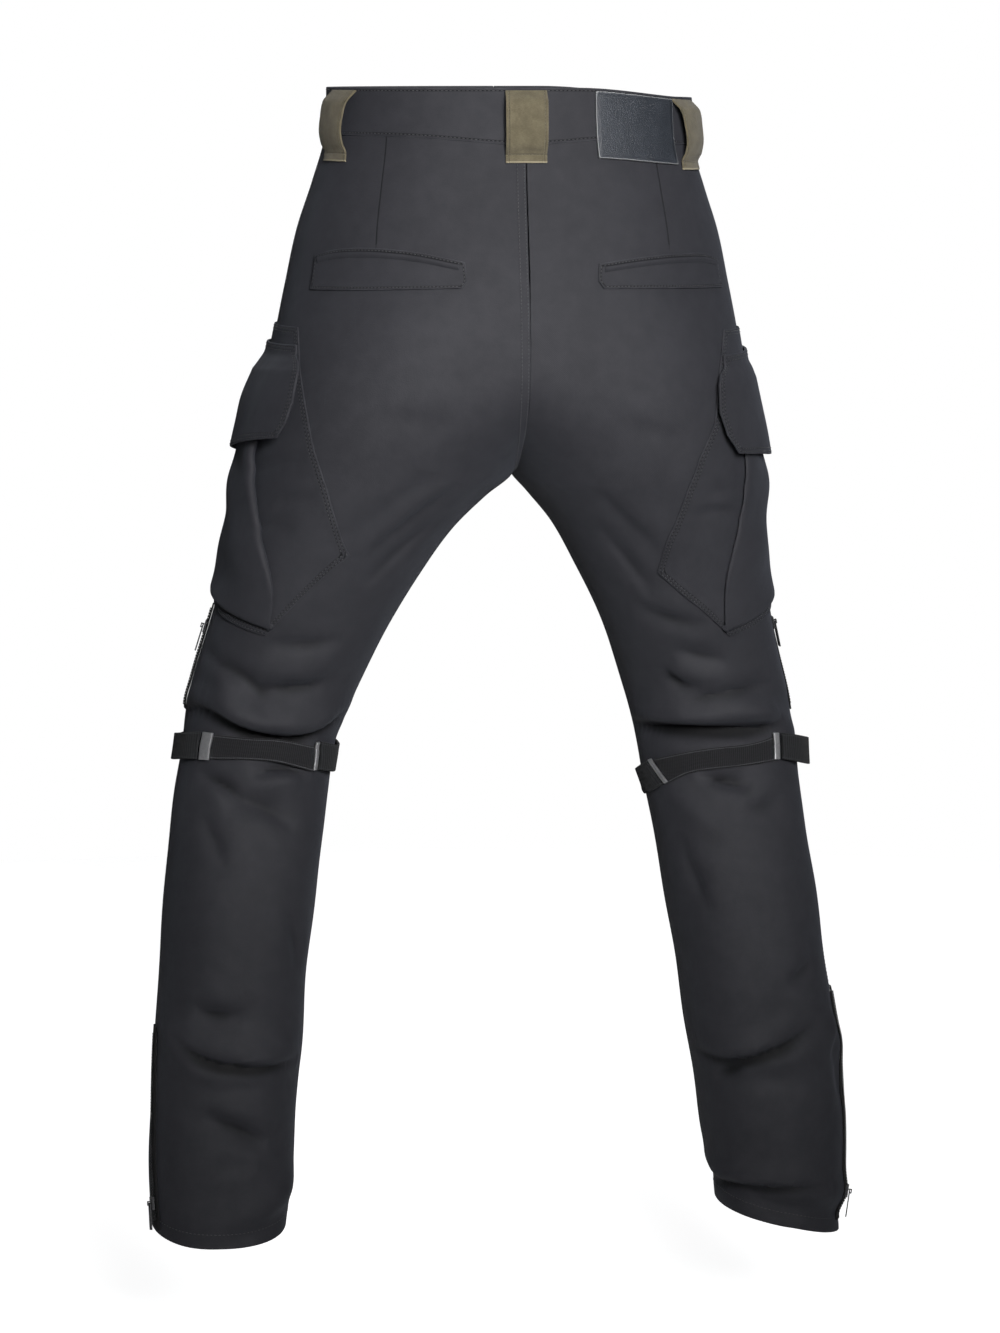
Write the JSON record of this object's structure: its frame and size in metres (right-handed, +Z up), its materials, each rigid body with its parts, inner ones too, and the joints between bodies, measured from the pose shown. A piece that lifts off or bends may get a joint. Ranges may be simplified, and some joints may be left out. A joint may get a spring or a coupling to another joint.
{
  "type": "motorcycle trousers",
  "caption": "Waxed cloth riding trousers in worn hollow form, with cargo pockets, contrast belt loops, bare leather patch, knee straps and zips.",
  "frame": {"origin": "centre of the waist opening, halfway up the waistband", "axes": "+Z up along the body, front towards -Y, the wearer's left towards +X"},
  "size_m": [0.6284, 0.2776, 1.0126],
  "materials": {
    "waxed_cloth": "matt with a soft wax sheen",
    "khaki_cloth": "matt",
    "patch_leather": "satin",
    "webbing": "matt",
    "elastic": "matt",
    "zip_tape": "matt",
    "steel": "satin"
  },
  "bodies": {
    "trousers": {"waistband": "waxed_cloth", "waist_button": "steel", "belt_loop_back": "khaki_cloth", "belt_loop_back_left": "khaki_cloth", "belt_loop_back_right": "khaki_cloth", "belt_loop_front_left": "khaki_cloth", "belt_loop_front_right": "khaki_cloth", "leather_patch": "patch_leather", "fly_placket": "waxed_cloth", "front_panel_left": "waxed_cloth", "front_panel_right": "waxed_cloth", "back_panel_left": "waxed_cloth", "back_panel_right": "waxed_cloth", "front_shin_left": "waxed_cloth", "front_shin_right": "waxed_cloth", "back_calf_left": "waxed_cloth", "back_calf_right": "waxed_cloth", "back_welt_left": "waxed_cloth", "back_welt_right": "waxed_cloth", "side_patch_left": "waxed_cloth", "side_patch_right": "waxed_cloth", "pocket_bag_left": "waxed_cloth", "pocket_bag_right": "waxed_cloth", "pocket_flap_left": "waxed_cloth", "pocket_flap_right": "waxed_cloth", "knee_elastic_left": "elastic", "knee_elastic_right": "elastic", "strap_bar_outer_left": "steel", "strap_bar_inner_left": "steel", "strap_bar_outer_right": "steel", "strap_bar_inner_right": "steel", "strap_tab_outer_left": "webbing", "strap_tab_inner_left": "webbing", "strap_tab_outer_right": "webbing", "strap_tab_inner_right": "webbing", "knee_zip_left": "zip_tape", "knee_zip_right": "zip_tape", "ankle_zip_left": "zip_tape", "ankle_zip_right": "zip_tape", "zip_slider_knee_left": "steel", "zip_slider_knee_right": "steel", "zip_slider_ankle_left": "steel", "zip_slider_ankle_right": "steel"},
    "pull_knee_left": {"zip_pull_knee_left": "steel"},
    "pull_knee_right": {"zip_pull_knee_right": "steel"},
    "pull_ankle_left": {"zip_pull_ankle_left": "steel"},
    "pull_ankle_right": {"zip_pull_ankle_right": "steel"}
  },
  "joints": [
    {"name": "pull_knee_left_swing", "type": "hinge", "parent": "trousers", "child": "pull_knee_left", "pos_m": [0.2685, -0.00925, -0.44627], "axis": [-0.1231, -0.9924, 0.002], "range_deg": [0, 150]},
    {"name": "pull_ankle_left_swing", "type": "hinge", "parent": "trousers", "child": "pull_ankle_left", "pos_m": [0.32414, 0.08067, -0.93974], "axis": [0.2282, -0.9495, -0.2154], "range_deg": [0, 150]},
    {"name": "pull_knee_right_swing", "type": "hinge", "parent": "trousers", "child": "pull_knee_right", "pos_m": [-0.23872, -0.01003, -0.45062], "axis": [-0.1174, 0.9892, -0.0873], "range_deg": [0, 150]},
    {"name": "pull_ankle_right_swing", "type": "hinge", "parent": "trousers", "child": "pull_ankle_right", "pos_m": [-0.29948, 0.05126, -0.95536], "axis": [0.2197, 0.9692, 0.1116], "range_deg": [0, 150]}
  ]
}
